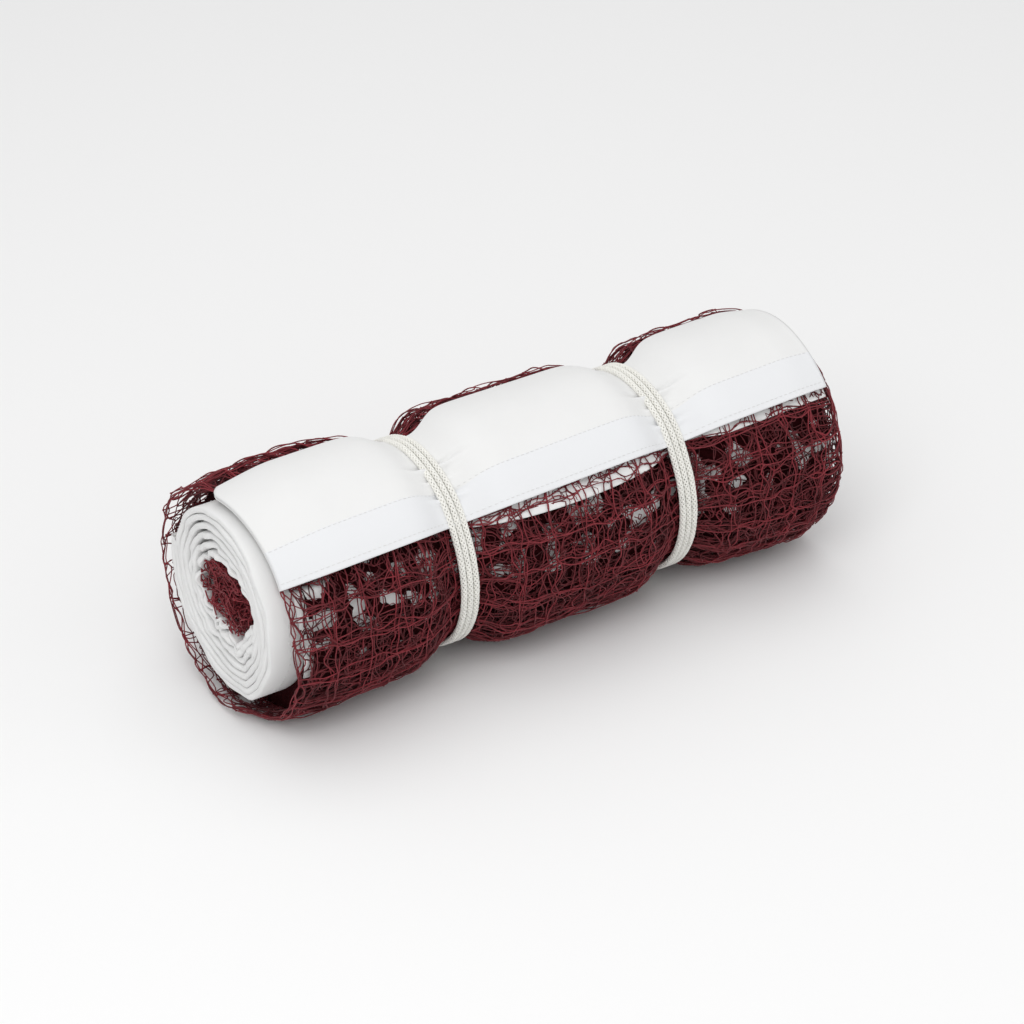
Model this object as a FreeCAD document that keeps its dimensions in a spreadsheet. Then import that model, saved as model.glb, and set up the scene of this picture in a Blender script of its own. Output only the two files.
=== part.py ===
"""Rolled-up sports net, tied with two cords, lying on its side.

The net is rolled along X and rests on the plane Z = 0. Its origin is the centre of the
roll's box on that plane. All lengths are millimetres. The roll has three bulges with a
waist at each tie, so most pieces are one profile turned about the roll's axis: straight
over the bulges, with a round hollow at each tie.
"""

import FreeCAD, Part
import Sketcher
import math
import os

DRIVING_DIMENSIONS = {
    "roll_length": 360,
    "axis_height": 66,
    "bulge_radius": 68,
    "waist_share": 0.184,
    "waist_curve": 45,
    "left_tie_place": 118,
    "right_tie_place": 259,
    "clearance": 0.6,
    "fabric": 0.7,
    "tape_slot": 0.5,
    "outer_wrap": 4.4,
    "parting": 0.4,
    "middle_wraps": 4.8,
    "inner_tape": 1.0,
    "core_radius": 25.4,
    "net_edge_inset": 12,
    "core_inset": 4,
    "headband_width": 82,
    "headband_first_radius": 27.6,
    "headband_ply_pitch": 3.55,
    "headband_half_turns": 7,
    "headband_ply": 3.15,
    "headband_fabric": 0.55,
    "headline_diameter": 1.5,
    "seam_diameter": 0.7,
    "tape_inset": 3,
    "tape_start": -26,
    "tape_sweep": 74,
    "tape_fold": 1.5,
    "edge_seam_inset": 3,
    "hem_seam_inset": 19.5,
    "inner_tape_start": 38,
    "inner_tape_sweep": 75,
    "cord_diameter": 3.8,
    "cord_step": 3.9,
    "tie_turns": 3,
    "knot_thickness": 5,
    "knot_width": 13,
    "knot_length": 15,
    "tail_length": 17,
    "selvage_radius": 64,
    "selvage_diameter": 1.4,
}

# Angles run about the roll from its top towards its front, which is -Y. A profile is drawn
# pointing along +Y, a quarter turn back from the top.
PROFILE_TO_TOP = 90
UP = FreeCAD.Vector(0, 0, 1)

doc = FreeCAD.newDocument("RolledNet")
sheet = doc.addObject("Spreadsheet::Sheet", "Dimensions")
pieces = []


def fill_sheet():
    """Write each driving dimension into the sheet as a plain number with an alias."""
    for row, (alias, value) in enumerate(DRIVING_DIMENSIONS.items(), start=1):
        sheet.set(f"A{row}", alias)
        sheet.set(f"B{row}", str(value))
        sheet.setAlias(f"B{row}", alias)
    doc.recompute()


def vector(x, y, z=0.0):
    """A point or direction."""
    return FreeCAD.Vector(x, y, z)


def cell(alias):
    """The expression that reads one driving dimension."""
    return f"Dimensions.{alias}"


def size(alias):
    """The value of one driving dimension."""
    return float(sheet.get(alias))


def bind(thing, **expressions):
    """Bind properties of an object to expressions; a double underscore stands for a dot."""
    for name, expression in expressions.items():
        thing.setExpression(name.replace("__", "."), expression)
    return thing


def on_axis(thing, place):
    """Lay a round primitive along the roll's axis at a place on X."""
    along_roll = FreeCAD.Rotation(FreeCAD.Vector(0, 1, 0), 90)
    thing.Placement = FreeCAD.Placement(FreeCAD.Vector(), along_roll)
    return bind(thing, Placement__Base__x=place, Placement__Base__z=cell("axis_height"))


def keep(thing, label):
    """Name a finished sub-part and list it for export."""
    thing.Label = label
    pieces.append(thing)
    return thing


def cut(base, tool):
    """Base with tool taken away."""
    result = doc.addObject("Part::Cut", "Cut")
    result.Base = base
    result.Tool = tool
    return result


class Profile:
    """A sketch of a roll's cross-section, drawn from the roll's left end along X."""

    def __init__(self, body):
        self.sketch = body.newObject("Sketcher::SketchObject", "Profile")
        planes = {plane.Role: plane for plane in body.Origin.OriginFeatures}
        self.sketch.AttachmentSupport = [(planes["XY_Plane"], "")]
        self.sketch.MapMode = "FlatFace"

    def value(self, expression):
        """What an expression is worth now."""
        return float(self.sketch.evalExpression(expression))

    def constrain(self, *parts):
        """Add one constraint; a trailing expression becomes its bound value."""
        expression = parts[-1] if isinstance(parts[-1], str) else None
        if expression:
            parts = parts[:-1] + (self.value(expression),)
        index = self.sketch.addConstraint(Sketcher.Constraint(*parts))
        if expression:
            self.sketch.setExpression(f"Constraints[{index}]", expression)

    def line(self, start, end):
        """A straight line between two points."""
        return self.sketch.addGeometry(Part.LineSegment(vector(*start), vector(*end)))

    def pinched_edge(self, radius, start, end):
        """An edge along the roll at a radius, hollowed at each tie; returns its end lines."""
        level = self.value(radius)
        curve = self.value(cell("waist_curve"))
        depth = level * self.value(cell("waist_share"))
        half = math.sqrt(curve ** 2 - (curve - depth) ** 2)
        ring = f"({radius}) * (1 - {cell('waist_share')}) + {cell('waist_curve')}"
        lines = []
        arcs = []
        here = self.value(start)
        for tie in ("left_tie_place", "right_tie_place"):
            middle = self.value(cell(tie))
            lines.append(self.line((here, level), (middle - half, level)))
            ring_circle = Part.Circle(vector(middle, level - depth + curve), UP, curve)
            lean = math.asin((curve - depth) / curve)
            hollow = Part.ArcOfCircle(ring_circle, math.pi + lean, 2 * math.pi - lean)
            arcs.append(self.sketch.addGeometry(hollow))
            here = middle + half
        lines.append(self.line((here, level), (self.value(end), level)))
        for index, tie in enumerate(("left_tie_place", "right_tie_place")):
            self.constrain("Coincident", lines[index], 2, arcs[index], 1)
            self.constrain("Coincident", arcs[index], 2, lines[index + 1], 1)
            self.constrain("DistanceX", -1, 1, arcs[index], 3, cell(tie))
            self.constrain("DistanceY", -1, 1, arcs[index], 3, ring)
            self.constrain("Radius", arcs[index], cell("waist_curve"))
        for each in lines:
            self.constrain("Horizontal", each)
            self.constrain("DistanceY", -1, 1, each, 1, radius)
        return lines[0], lines[-1]

    def close_to_axis(self, first, last, start, end):
        """Close a pinched edge into a rod's half section, along the roll's axis."""
        low = self.value(start)
        high = self.value(end)
        level = self.sketch.Geometry[first].StartPoint.y
        left = self.line((low, 0), (low, level))
        right = self.line((high, level), (high, 0))
        base = self.line((high, 0), (low, 0))
        self.constrain("Coincident", left, 2, first, 1)
        self.constrain("Coincident", last, 2, right, 1)
        self.constrain("Coincident", right, 2, base, 1)
        self.constrain("Coincident", base, 2, left, 1)
        self.constrain("Vertical", left)
        self.constrain("Vertical", right)
        self.constrain("PointOnObject", left, 1, -1)
        self.constrain("PointOnObject", base, 1, -1)
        self.place_ends(left, right, start, end)

    def close_to_edge(self, outer, inner, start, end):
        """Close two pinched edges into a tube's section."""
        points = self.sketch.Geometry
        ends = []
        for side, vertex in ((0, "StartPoint"), (1, "EndPoint")):
            top = getattr(points[outer[side]], vertex)
            foot = getattr(points[inner[side]], vertex)
            wall = self.line((foot.x, foot.y), (top.x, top.y))
            self.constrain("Coincident", wall, 1, inner[side], side + 1)
            self.constrain("Coincident", wall, 2, outer[side], side + 1)
            self.constrain("Vertical", wall)
            ends.append(wall)
        self.place_ends(*ends, start, end)

    def place_ends(self, left, right, start, end):
        """Fix where both end walls stand."""
        self.constrain("DistanceX", -1, 1, left, 1, start)
        self.constrain("DistanceX", -1, 1, right, 1, end)


def turned_piece(name, outer, inner, start, end, angle="0", sweep="360"):
    """A rod (inner is None), tube or curved strip of the roll, turned from its profile."""
    body = doc.addObject("PartDesign::Body", name)
    profile = Profile(body)
    outer_edge = profile.pinched_edge(outer, start, end)
    if inner is None:
        profile.close_to_axis(*outer_edge, start, end)
    else:
        inner_edge = profile.pinched_edge(inner, start, end)
        profile.close_to_edge(outer_edge, inner_edge, start, end)
    turn = body.newObject("PartDesign::Revolution", "Turn")
    turn.Profile = profile.sketch
    turn.ReferenceAxis = (profile.sketch, ["H_Axis"])
    bind(turn, Angle=sweep)
    body.Placement = FreeCAD.Placement(vector(0, 0), FreeCAD.Rotation(vector(1, 0), 1))
    bind(body, Placement__Rotation__Angle=f"{PROFILE_TO_TOP} + {angle}")
    bind(body, Placement__Base__x=f"-{cell('roll_length')} / 2")
    bind(body, Placement__Base__z=cell("axis_height"))
    return body


def right_end(inset="0"):
    """The place that many millimetres short of the roll's right end."""
    return f"{cell('roll_length')} - {inset}"


def make_netting():
    """The netting: bunched core, inner wraps, middle wraps and the outer wrap.

    The outer wrap is drawn as its three bulges, parted by a hair under each tie, so that the
    roll stands on three feet and its collision follows the waists.
    """
    gap = cell("clearance")
    inset = cell("net_edge_inset")
    past_headband = f"{cell('headband_width')} + 2"
    outer_face = cell("bulge_radius")
    outer_bore = f"{outer_face} - {cell('outer_wrap')}"
    middle_face = f"{outer_bore} - {gap}"
    middle_bore = f"{middle_face} - {cell('middle_wraps')}"
    inner_face = f"{middle_bore} - 2 * {gap} - {cell('inner_tape')}"
    core_face = cell("core_radius")
    inner_bore = f"{core_face} + {gap}"

    core_start = cell("core_inset")
    core_end = right_end(core_start)
    keep(turned_piece("Core", core_face, None, core_start, core_end), "netting_core")
    keep(turned_piece("Inner", inner_face, inner_bore, past_headband, right_end("3")),
         "netting_inner_wraps")
    keep(turned_piece("Middle", middle_face, middle_bore, inset, right_end("2")),
         "netting_middle_wraps")

    outer = turned_piece("Outer", outer_face, outer_bore, inset, right_end())
    floor = doc.addObject("Part::Box", "BelowFloor")
    bind(floor, Length=f"2 * {cell('roll_length')}", Width=f"4 * {outer_face}", Height=outer_face)
    bind(floor, Placement__Base__x=f"-{cell('roll_length')}")
    bind(floor, Placement__Base__y=f"-2 * {outer_face}", Placement__Base__z=f"-{outer_face}")
    outer = cut(outer, floor)
    for tie in ("left_tie_place", "right_tie_place"):
        parting = doc.addObject("Part::Box", "Parting")
        bind(parting, Length=cell("parting"), Width=f"4 * {outer_face}", Height=f"4 * {outer_face}")
        middle = f"{cell(tie)} - {cell('roll_length')} / 2"
        bind(parting, Placement__Base__x=f"{middle} - {cell('parting')} / 2")
        bind(parting, Placement__Base__y=f"-2 * {outer_face}", Placement__Base__z=f"-{outer_face}")
        outer = cut(outer, parting)
    keep(outer, "netting_outer_wrap")

    selvage = doc.addObject("Part::Torus", "Selvage")
    on_axis(selvage, f"{inset} - {cell('selvage_diameter')} - {cell('roll_length')} / 2")
    bind(selvage, Radius1=cell("selvage_radius"), Radius2=f"{cell('selvage_diameter')} / 2")
    keep(selvage, "bottom_selvage_line")


def outer_tape_faces():
    """The side tape's four radii, inside to outside: face, slot bore, slot face, face."""
    inner_face = f"{cell('bulge_radius')} + {cell('clearance')}"
    slot_bore = f"{inner_face} + {cell('fabric')}"
    slot_face = f"{slot_bore} + {cell('tape_slot')}"
    outer_face = f"{slot_face} + {cell('fabric')}"
    return inner_face, slot_bore, slot_face, outer_face


def make_outer_side_tape():
    """The side tape round the net's end: one strip folded over the netting, and its seams."""
    inner_face, slot_bore, slot_face, outer_face = outer_tape_faces()
    start = cell("tape_inset")
    end = right_end(start)
    angle = cell("tape_start")
    sweep = cell("tape_sweep")

    folded = turned_piece("Folded", outer_face, inner_face, start, end, angle, sweep)
    slot = turned_piece("Slot", slot_face, slot_bore, f"{start} - 1", f"{end} + 1",
                        f"{angle} + {cell('tape_fold')}", sweep)
    keep(cut(folded, slot), "side_tape")

    thread = cell("seam_diameter")
    seam_bore = f"{outer_face} + 0.1"
    seam_face = f"{seam_bore} + {thread}"
    thread_sweep = f"{thread} / {cell('bulge_radius')} * 180 / pi"
    for inset, label in (("edge_seam_inset", "side_tape_edge_seam"),
                         ("hem_seam_inset", "side_tape_hem_seam")):
        place = f"{angle} + {sweep} - {cell(inset)}"
        keep(turned_piece("Seam", seam_face, seam_bore, start, end, place, thread_sweep), label)


def make_inner_side_tape():
    """The side tape of the folded-under half, beneath the middle and outer wraps."""
    wraps = f"{cell('outer_wrap')} + {cell('middle_wraps')} + 2 * {cell('clearance')}"
    outer_face = f"{cell('bulge_radius')} - ({wraps})"
    inner_face = f"{outer_face} - {cell('inner_tape')}"
    past_headband = f"{cell('headband_width')} + 2"
    keep(turned_piece("InnerTape", outer_face, inner_face, past_headband, right_end("3"),
                      cell("inner_tape_start"), cell("inner_tape_sweep")),
         "inner_side_tape")


def spiral_side(x, beside=0.0):
    """The arcs of the headband's route across the roll at one X, or of a line beside it.

    The band is folded in two, so it runs in along its outer ply, turns back round a small
    half circle and runs out along its inner ply. Each half circle is one ply pitch larger
    than the last, about a centre that steps from side to side.
    """
    pitch = size("headband_ply_pitch")
    first = size("headband_first_radius")

    def arc(centre, left, right, depth):
        points = ((centre - left, 0), (centre, depth), (centre + right, 0))
        return Part.Arc(*(FreeCAD.Vector(x, y, size("axis_height") + z) for y, z in points))

    def ply(radius):
        arcs = []
        for step in range(int(size("headband_half_turns"))):
            reach = radius + step * pitch
            upper = step % 2 == 0
            centre = 0.0 if upper else -pitch
            arcs.append(arc(centre, reach, reach, reach if upper else -reach))
        return arcs

    turn = pitch / 2 + beside
    fold = arc(-first - pitch / 2, turn, turn, -turn)
    outer_ply = ply(first + pitch + beside)
    inner_ply = ply(first - beside)
    return [arc.toShape() for arc in outer_ply[::-1] + [fold] + inner_ply]


def ribbon(start, length, thickness):
    """A band of that thickness on edge along the spiral, extruded along X."""
    sides = [spiral_side(start, thickness / 2), spiral_side(start, -thickness / 2)]
    ends = []
    for last in (0, -1):
        across = [max(side[last].Vertexes, key=reach_across).Point for side in sides]
        ends.append(Part.makeLine(*across))
    outline = Part.Wire(Part.__sortEdges__(sides[0] + sides[1] + ends))
    return Part.Face(outline).extrude(FreeCAD.Vector(length, 0, 0))


def reach_across(vertex):
    """How far a vertex lies towards +Y, where both plies of the headband end."""
    return vertex.Point.y


def thread_on_spiral(x, diameter):
    """A round cord along the spiral."""
    path = Part.Wire(Part.__sortEdges__(spiral_side(x)))
    begin = path.OrderedVertexes[0].Point
    section = Part.Circle(begin, FreeCAD.Vector(0, 0, 1), diameter / 2).toShape()
    return path.makePipeShell([Part.Wire(section)], True, False)


def feature(label, shape):
    """A sub-part whose shape is worked out from the sheet by this script."""
    thing = doc.addObject("Part::Feature", label)
    thing.Shape = shape
    return keep(thing, label)


def make_headband():
    """The headband: tape folded over the headline cord, wound with the net at the left end."""
    left = -size("roll_length") / 2
    width = size("headband_width")
    ply = size("headband_ply")
    fabric = size("headband_fabric")
    folded = ribbon(left, width, ply)
    pocket = ribbon(left + fabric, width, ply - 2 * fabric)
    feature("headband_tape", folded.cut(pocket))
    cord = size("headline_diameter")
    feature("headline_cord", thread_on_spiral(left + ply / 2, cord))
    feature("headband_seam", thread_on_spiral(left + width - 4, size("seam_diameter")))


def make_tie(side, tie):
    """One tie: three turns of cord side by side in the waist, knotted at the back."""
    diameter = cell("cord_diameter")
    tape_face = outer_tape_faces()[-1]
    seam = cell("seam_diameter")
    seat = f"({tape_face} + 0.1 + {seam}) * (1 - {cell('waist_share')})"
    ring = f"{seat} + {cell('clearance')} / 2 + {diameter} / 2"
    place = f"{cell(tie)} - {cell('roll_length')} / 2"
    turns = int(size("tie_turns"))
    rings = []
    for turn in range(turns):
        step = f"({turn} - ({turns} - 1) / 2) * {cell('cord_step')}"
        loop = on_axis(doc.addObject("Part::Torus", "Turn"), f"{place} + {step}")
        rings.append(bind(loop, Radius1=ring, Radius2=f"{diameter} / 2"))
    cord = doc.addObject("Part::Compound", "Tie")
    cord.Links = rings
    keep(cord, f"tie_cord_{side}")

    knot = doc.addObject("Part::Ellipsoid", "Knot")
    bind(knot, Radius1=f"{cell('knot_thickness')} / 2", Radius2=f"{cell('knot_width')} / 2")
    bind(knot, Radius3=f"{cell('knot_length')} / 2")
    centre = f"{ring} + {diameter} / 2 + 0.2 + {cell('knot_thickness')} / 2"
    knot.Placement = FreeCAD.Placement(FreeCAD.Vector(), FreeCAD.Rotation(0, 0, 90))
    bind(knot, Placement__Base__x=place, Placement__Base__y=centre)
    bind(knot, Placement__Base__z=cell("axis_height"))
    parts = [knot]
    for lean in (-1, 1):
        tail = doc.addObject("Part::Cylinder", "Tail")
        bind(tail, Radius=f"{diameter} / 2 - 0.1", Height=cell("tail_length"))
        down = FreeCAD.Rotation(FreeCAD.Vector(1, 0, 0), 180)
        tail.Placement = FreeCAD.Placement(FreeCAD.Vector(), down)
        bind(tail, Placement__Base__x=f"{place} + {lean} * 0.55 * {diameter}")
        bind(tail, Placement__Base__y=centre, Placement__Base__z=cell("axis_height"))
        parts.append(tail)
    whole = doc.addObject("Part::MultiFuse", "KnotAndTails")
    whole.Shapes = parts
    keep(whole, f"tie_knot_{side}")


def check_document():
    """Stop if any object failed, or if a sub-part has no valid shape."""
    doc.recompute()
    for thing in doc.Objects:
        if "Invalid" in thing.State or "Error" in thing.State:
            raise RuntimeError(f"{thing.Label} failed: {thing.State}")
    for piece in pieces:
        if piece.Shape.isNull() or not piece.Shape.isValid():
            raise RuntimeError(f"{piece.Label} has no valid shape")


def export_pieces():
    """Write each sub-part to its own STEP file and print its size."""
    os.makedirs("parts", exist_ok=True)
    for piece in pieces:
        piece.Shape.exportStep(f"parts/{piece.Label}.step")
        box = piece.Shape.optimalBoundingBox(False)
        print(f"{piece.Label:24} solids {len(piece.Shape.Solids)} volume {piece.Shape.Volume:12.1f}"
              f"  x {box.XMin:7.1f} {box.XMax:7.1f}  y {box.YMin:6.1f} {box.YMax:6.1f}"
              f"  z {box.ZMin:6.1f} {box.ZMax:6.1f}")


fill_sheet()
make_netting()
make_outer_side_tape()
make_inner_side_tape()
make_headband()
make_tie("left", "left_tie_place")
make_tie("right", "right_tie_place")
check_document()
export_pieces()
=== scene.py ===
"""The looks of a rolled-up sports net, tied with two braided cords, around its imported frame."""

import math
import random

import bmesh
import bpy
from mathutils import Matrix, Vector, noise


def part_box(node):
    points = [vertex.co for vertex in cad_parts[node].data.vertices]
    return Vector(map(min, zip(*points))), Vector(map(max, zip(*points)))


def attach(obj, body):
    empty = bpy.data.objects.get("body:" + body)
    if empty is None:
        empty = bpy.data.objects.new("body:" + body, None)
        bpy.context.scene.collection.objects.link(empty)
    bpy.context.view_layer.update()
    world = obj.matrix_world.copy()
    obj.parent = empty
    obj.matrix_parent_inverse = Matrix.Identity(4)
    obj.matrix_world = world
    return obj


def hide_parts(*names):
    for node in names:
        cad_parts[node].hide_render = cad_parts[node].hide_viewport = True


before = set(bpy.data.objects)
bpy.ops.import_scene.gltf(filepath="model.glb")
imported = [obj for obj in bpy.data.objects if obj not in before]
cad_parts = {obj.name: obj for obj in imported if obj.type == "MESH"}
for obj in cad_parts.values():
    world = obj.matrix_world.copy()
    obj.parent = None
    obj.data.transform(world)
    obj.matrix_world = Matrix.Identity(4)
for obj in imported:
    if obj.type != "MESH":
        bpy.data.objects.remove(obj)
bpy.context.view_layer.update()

bl_info = {
    "name": "Rolled Sports Net",
    "version": (1, 0, 0),
    "blender": (4, 5, 0),
    "location": "3D View > Sidebar > Net",
    "description": "Builds the twine, tape and braided ties of a rolled-up net round its frame",
    "category": "Object",
}

MM = 0.001
OUTER_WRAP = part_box("netting_outer_wrap")
SIDE_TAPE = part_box("side_tape")
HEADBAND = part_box("headband_tape")
BULGE = (OUTER_WRAP[1].y - OUTER_WRAP[0].y) / 2
AXIS_Z = OUTER_WRAP[1].z - BULGE
TAPE_FACE = SIDE_TAPE[1].z - AXIS_Z
TIE_BOXES = [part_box("tie_cord_left"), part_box("tie_cord_right")]
TIES = [(low.x + high.x) / 2 for low, high in TIE_BOXES]
TIE_RADIUS = (TIE_BOXES[0][1].y - TIE_BOXES[0][0].y) / 2
LEFT_END = HEADBAND[0].x
RIGHT_END = OUTER_WRAP[1].x
LENGTH = RIGHT_END - LEFT_END
HEAD_LIFT = 5 * MM
HEM = 23 * MM


class NetSettings(bpy.types.PropertyGroup):
    """Sizes of the netting and colours of its parts."""

    mesh_size: bpy.props.FloatProperty(
        name="Mesh size", description="Length of one side of a mesh",
        default=20 * MM, unit="LENGTH")
    twine: bpy.props.FloatProperty(
        name="Twine", description="Diameter of the netting's twine",
        default=0.8 * MM, unit="LENGTH")
    cord: bpy.props.FloatProperty(
        name="Tie cord", description="Diameter of the braided tie cord",
        default=3.8 * MM, unit="LENGTH")
    maroon: bpy.props.FloatVectorProperty(
        name="Netting colour", description="Colour of the netting's twine",
        default=(0.175, 0.016, 0.023), subtype="COLOR", size=3, min=0, max=1)
    tape: bpy.props.FloatVectorProperty(
        name="Tape colour", description="Colour of the headband and side tapes",
        default=(0.82, 0.82, 0.815), subtype="COLOR", size=3, min=0, max=1)
    braid: bpy.props.FloatVectorProperty(
        name="Cord colour", description="Colour of the braided ties",
        default=(0.90, 0.89, 0.84), subtype="COLOR", size=3, min=0, max=1)


def settings():
    """The scene's net settings."""
    return bpy.context.scene.net_settings


# Shape of the roll ---------------------------------------------------------------------------

def smooth(low, high, value):
    """0 below low, 1 above high, and a soft step between."""
    step = min(max((value - low) / (high - low), 0), 1)
    return step * step * (3 - 2 * step)


def mix(a, b, share):
    """A value that share of the way from a to b."""
    return a + (b - a) * share


def at(x, angle, radius):
    """The point at x along the roll; the angle runs from its top towards the front."""
    return Vector((x, -radius * math.sin(angle), AXIS_Z + radius * math.cos(angle)))


def at_mouth(x, angle, radius):
    """Like at, but about the wound headband, which sits high in the netting's mouth."""
    return at(x, angle, radius) + Vector((0, 0, HEAD_LIFT))


def pinch(x):
    """How far the ties pull the roll in: 0 over a bulge, 1 under a tie."""
    reach = min(max(abs(x - tie) - 4 * MM, 0) for tie in TIES)
    return math.exp(-(reach / (15 * MM)) ** 2)


def lumps(x, angle, grain, seed):
    """Smooth unevenness about the roll, between about -1 and 1."""
    turn = BULGE / grain
    return noise.noise(Vector((x / grain + seed, turn * math.cos(angle), turn * math.sin(angle))))


def netting_face(x, angle):
    """Radius of the netting's outer face."""
    waist = TIE_RADIUS - settings().cord - 2.4 * MM
    left_swell = 2.2 * MM * math.exp(-((x + 0.150) / 0.035) ** 2)
    face = BULGE + left_swell + 0.2 * MM + 1.6 * MM * lumps(x, angle, 45 * MM, 3.1)
    face = mix(face, waist, pinch(x))
    front = smooth(-0.2, 0.5, math.cos(angle - math.radians(95)))
    below = smooth(-0.2, 0.3, -math.cos(angle))
    hug = mix(57.5 * MM, 61 * MM, below) + HEAD_LIFT * max(math.cos(angle), 0)
    mouth = mix(BULGE - 3 * MM, hug, front)
    face = mix(mouth, face, smooth(LEFT_END - 3 * MM, LEFT_END + mix(22, 13, below) * MM, x))
    face -= 11 * MM * smooth(RIGHT_END - 16 * MM, RIGHT_END + 7 * MM, x) ** 2
    covered = smooth(-0.09, -0.01, angle_in(angle, tape_back_edge(x), tape_low_edge(x)))
    return mix(face, min(face, tape_face(x, angle) - 2.2 * MM), covered)


def loft(x, angle):
    """How far the loosest netting stands up behind the side tape."""
    behind = math.exp(-((math.degrees(math.remainder(angle, 2 * math.pi)) + 54) / 26) ** 2)
    beside = max(math.exp(-((x - start - 14 * MM) / (15 * MM)) ** 2) for start in TIES)
    clear = smooth(-0.02, 0.07, -angle_in(angle, tape_back_edge(x), tape_low_edge(x)))
    rise = 3.4 * MM * (1 - pinch(x)) + 4.5 * MM * beside * (1 - 0.6 * pinch(x))
    return behind * clear * rise


def netting_left_edge(angle):
    """Where the netting's selvage lies: set back on the front, proud of the spiral behind."""
    front = 1 - smooth(84, 104, away_from(angle, 62))
    hidden = 1 - smooth(30, 37, away_from(angle, 14))
    return LEFT_END + (mix(-3, 8.5, front) + 7 * hidden) * MM


def away_from(angle, degrees):
    """Unsigned angle between two directions, in degrees."""
    return abs(math.degrees(math.remainder(angle - math.radians(degrees), 2 * math.pi)))


def angle_in(angle, low, high):
    """How far an angle is inside a range: negative outside it."""
    middle = (low + high) / 2
    away = abs(math.remainder(angle - middle, 2 * math.pi))
    return (high - low) / 2 - away


def tape_low_edge(x):
    """Angle of the side tape's lower edge, which climbs a little towards the right."""
    return math.radians(mix(55, 46, (x - LEFT_END) / LENGTH))


def tape_back_edge(x):
    """Angle of the side tape's folded back edge, which draws forward beside the ties."""
    drawn = sum(math.exp(-((x - tie - 7 * MM) / (13 * MM)) ** 2) for tie in TIES)
    return math.radians(mix(-22, -29, (x - LEFT_END) / LENGTH) + 6 * drawn)


def crowding(x, angle):
    """Where netting is packed over the inner side tape: 1, and 0 where meshes are open."""
    lower = smooth(84, 102, away_from(angle, 0))
    patch = lumps(x, angle, 11 * MM, 4.4)
    limit = mix(-0.13, -0.42, lower)
    return smooth(limit - 0.07, limit + 0.07, patch)


def peek(x):
    """How far the tape's under half hangs out below its upper half."""
    middle = (TIES[0] + TIES[1]) / 2
    reach = (TIES[1] - TIES[0]) / 2
    show = 11 * MM * math.sqrt(max(1 - ((x - middle) / reach) ** 2, 0))
    return show + 5 * MM * smooth(TIES[1] + 6 * MM, TIES[1] + 30 * MM, x)


def tape_face(x, angle):
    """Radius of the side tape's outer face, with the pleats that the ties press in it."""
    waist = TIE_RADIUS - settings().cord - 0.5 * MM
    face = TAPE_FACE - 0.6 * MM + 0.5 * MM * lumps(x, angle, 60 * MM, 7.7)
    face -= 2.2 * MM * smooth(math.radians(8), math.radians(-30), angle)
    face = mix(face, waist, pinch(x))
    for tie in TIES:
        away = abs(x - tie)
        for centre, depth, reach, width in ((17, 11.0, 12, 2.5), (25, 4.0, 8, 2.0),
                                            (36, 6.0, 9, 2.3)):
            across = (angle - math.radians(centre)) * BULGE / (width * MM)
            fade = math.exp(-(away / (reach * MM)) ** 2) * smooth(1, 6, away / MM)
            face += depth * MM * fade * across * math.exp(-across * across)
    hug = 57.2 * MM + HEAD_LIFT * math.cos(angle)
    face = mix(hug, face, smooth(LEFT_END - 6 * MM, LEFT_END + 46 * MM, x))
    return face - 3.5 * MM * smooth(RIGHT_END - 26 * MM, RIGHT_END + 2 * MM, x)


# Making meshes -------------------------------------------------------------------------------

def finish_piece(name, mesh, material, replaced=()):
    """Put a finished mesh in the scene as a piece of the roll."""
    for polygon in mesh.polygons:
        polygon.use_smooth = True
    mesh.materials.clear()
    mesh.materials.append(material)
    piece = bpy.data.objects.new(name, mesh)
    bpy.context.collection.objects.link(piece)
    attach(piece, "root")
    if replaced:
        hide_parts(*replaced)
    return piece


def cloth(name, columns, rows, place, flat, closed=False):
    """A grid laid over a surface; place turns two shares of the grid into a point."""
    bm = bmesh.new()
    uv = bm.loops.layers.uv.new("UVMap")
    bmesh.ops.create_grid(bm, x_segments=columns, y_segments=rows, size=0.5, calc_uvs=True)
    for face in bm.faces:
        for loop in face.loops:
            loop[uv].uv = (loop[uv].uv.x * flat[0], loop[uv].uv.y * flat[1])
    for vertex in bm.verts:
        vertex.co = place(vertex.co.x + 0.5, vertex.co.y + 0.5)
    if closed:
        bmesh.ops.remove_doubles(bm, verts=bm.verts, dist=0.01 * MM)
    bmesh.ops.recalc_face_normals(bm, faces=bm.faces)
    mesh = bpy.data.meshes.new(name)
    bm.to_mesh(mesh)
    bm.free()
    return mesh


def thicken(piece, thickness, offset=0.0):
    """Give a sheet its thickness."""
    wall = piece.modifiers.new("Thickness", "SOLIDIFY")
    wall.thickness = thickness
    wall.offset = offset
    wall.use_even_offset = False


def strands(name, lines, radius, sides=0, resolution=2):
    """Round strands along lists of points, as one mesh."""
    curve = bpy.data.curves.new(name, "CURVE")
    curve.dimensions = "3D"
    curve.bevel_depth = radius
    curve.bevel_resolution = sides
    curve.use_fill_caps = True
    curve.resolution_u = resolution
    for points, closed in lines:
        spline = curve.splines.new("NURBS")
        spline.points.add(len(points) - 1)
        for place, point in zip(spline.points, points):
            place.co = (*point, 1)
        spline.use_cyclic_u = closed
        spline.order_u = 3
        spline.use_endpoint_u = not closed
    holder = bpy.data.objects.new(name, curve)
    mesh = bpy.data.meshes.new_from_object(holder)
    bpy.data.objects.remove(holder)
    bpy.data.curves.remove(curve)
    mesh.name = name
    return mesh


# Netting -------------------------------------------------------------------------------------

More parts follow.
